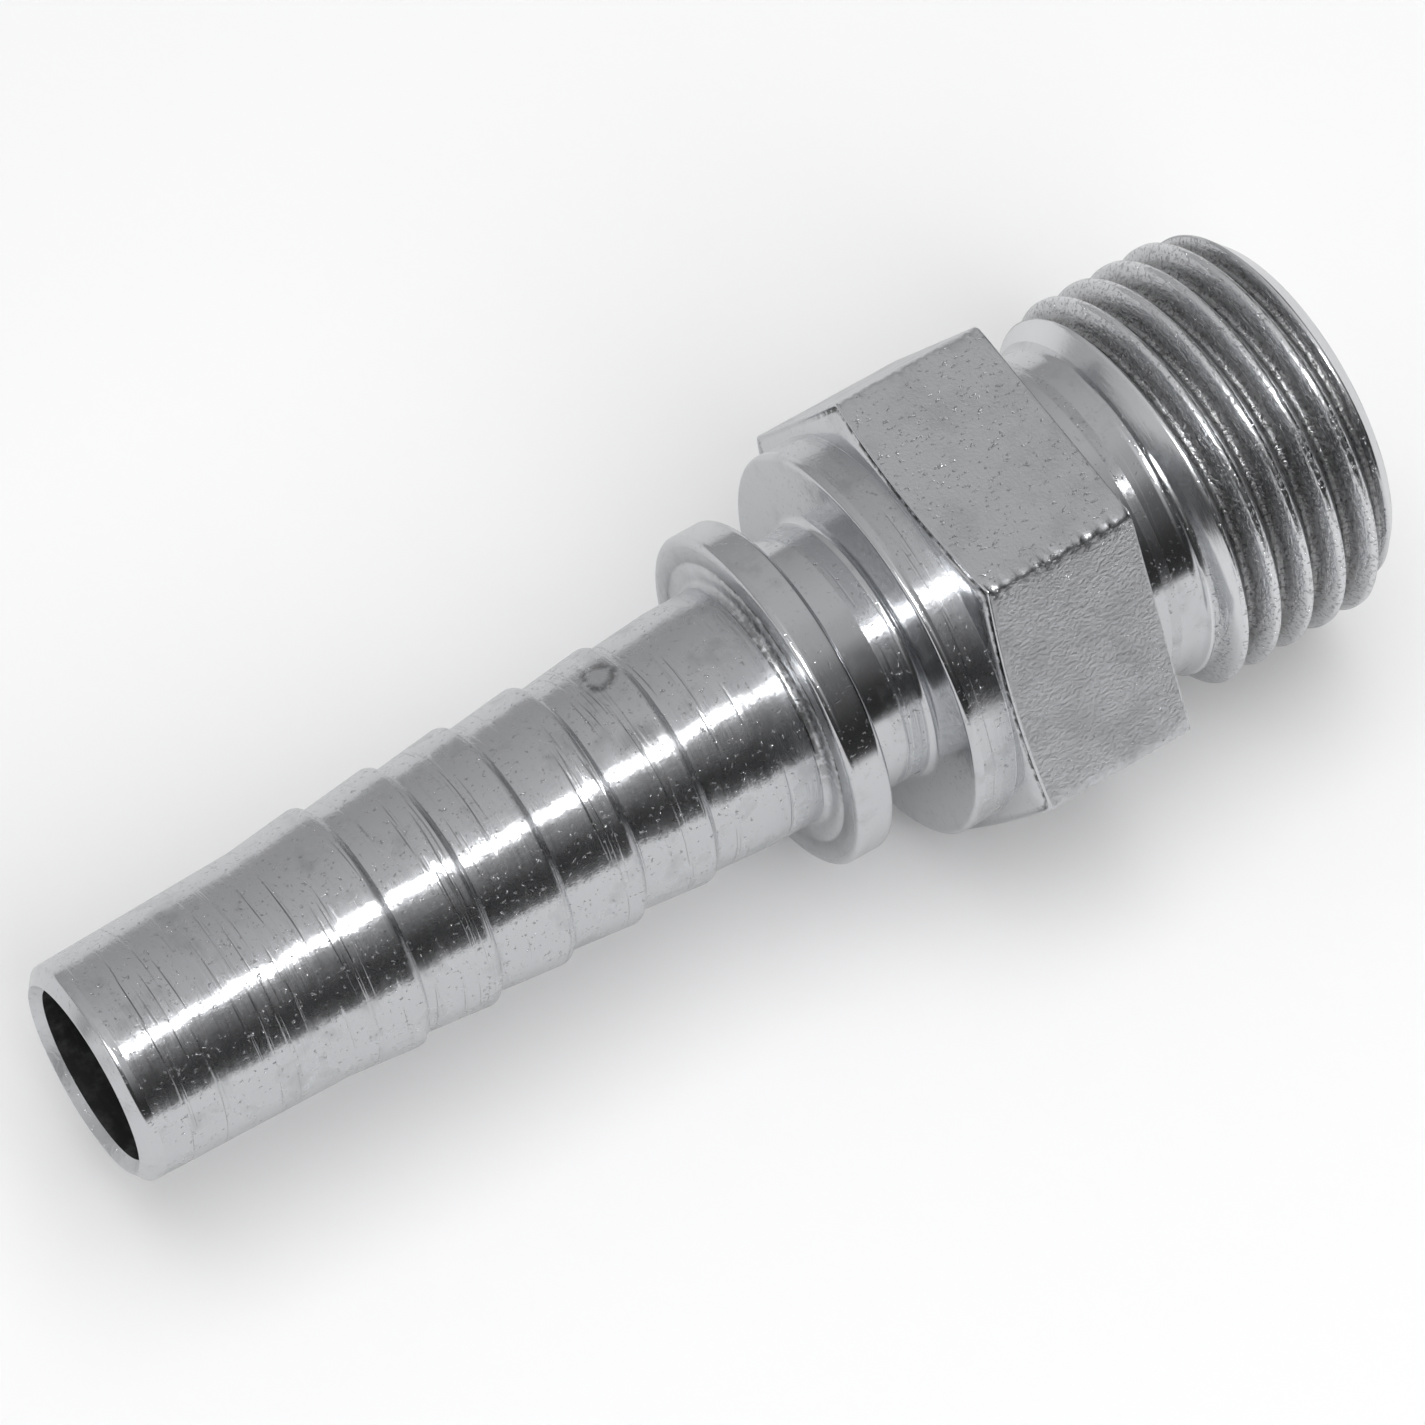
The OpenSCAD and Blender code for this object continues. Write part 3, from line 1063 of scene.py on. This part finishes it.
def make_studio():
    """A soft dome that is dark in front of the fitting, where the camera sees a plain backdrop."""
    world = bpy.data.worlds.new("studio")
    bpy.context.scene.world = world
    world.use_nodes = True
    nodes = Nodes(world.node_tree)
    nodes.tree.nodes.clear()
    toward = nodes.parts(nodes.add("ShaderNodeTexCoord").outputs["Generated"])
    angle = nodes.calc("ARCTAN2", toward["Z"], toward["Y"])
    slant = nodes.blend_range(nodes.calc("ABSOLUTE", toward["X"]), slant_from, slant_full)
    level = nodes.blend(slant, level_ramp(nodes, angle, square_levels),
                        level_ramp(nodes, angle, slanted_levels))
    kept = nodes.blend_range(toward["X"], thread_end_from, thread_end_full, 1.0, thread_end_share)
    tail_end = nodes.blend_range(toward["X"], tail_end_full, tail_end_from, 1.0, 0.0)
    level = nodes.blend(tail_end, nodes.calc("MULTIPLY", level, kept), tail_end_level)
    studio = nodes.add("ShaderNodeBackground")
    nodes.feed(studio.inputs["Color"], (1, 1, 1, 1))
    nodes.feed(studio.inputs["Strength"], level)
    backdrop = nodes.add("ShaderNodeBackground")
    nodes.feed(backdrop.inputs["Color"], backdrop_color)
    mix = nodes.add("ShaderNodeMixShader")
    nodes.feed(mix.inputs[0], nodes.add("ShaderNodeLightPath").outputs["Is Camera Ray"])
    nodes.feed(mix.inputs[1], studio.outputs[0])
    nodes.feed(mix.inputs[2], backdrop.outputs[0])
    nodes.feed(nodes.add("ShaderNodeOutputWorld").inputs["Surface"], mix.outputs[0])


def area_light(name, along, angle, distance, width, height, power, on_metal):
    """A soft box that points at the fitting, either for the metal's reflections or for the floor.

    Its direction is given by its slant along the axis and its angle about it in degrees.
    """
    data = bpy.data.lights.new(name, "AREA")
    data.shape = "RECTANGLE"
    data.size = width
    data.size_y = height
    data.energy = power
    light = bpy.data.objects.new(name, data)
    bpy.context.scene.collection.objects.link(light)
    across = sqrt(1 - along * along)
    back = Vector((along, across * cos(radians(angle)), across * sin(radians(angle))))
    side = Vector((0, -sin(radians(angle)), cos(radians(angle))))
    long_way = side.cross(back).normalized()
    turned = Matrix((long_way, back.cross(long_way), back)).transposed().to_4x4()
    light.matrix_world = Matrix.Translation(Vector((0, 0, axis_z)) + back * distance) @ turned
    light.visible_glossy = on_metal
    light.visible_diffuse = not on_metal


make_camera()
make_floor()
make_studio()
area_light("key_light", along=-0.4, angle=111, distance=0.5, width=0.10, height=0.045,
           power=1.4, on_metal=True)
area_light("end_light", along=-0.7, angle=105, distance=0.5, width=0.08, height=0.18,
           power=0.2, on_metal=True)
area_light("fill_light", along=0, angle=135, distance=0.6, width=0.4, height=0.4,
           power=1.6, on_metal=False)
area_light("overhead_light", along=0, angle=90, distance=0.8, width=0.7, height=0.7,
           power=3.0, on_metal=False)
bpy.context.scene.view_settings.view_transform = "Standard"

surface = make_surface([zinc_turned(), zinc_burnished(), zinc_drawn(), zinc_threaded(), zinc_drilled()])
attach(surface, "root")
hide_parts(BODY)
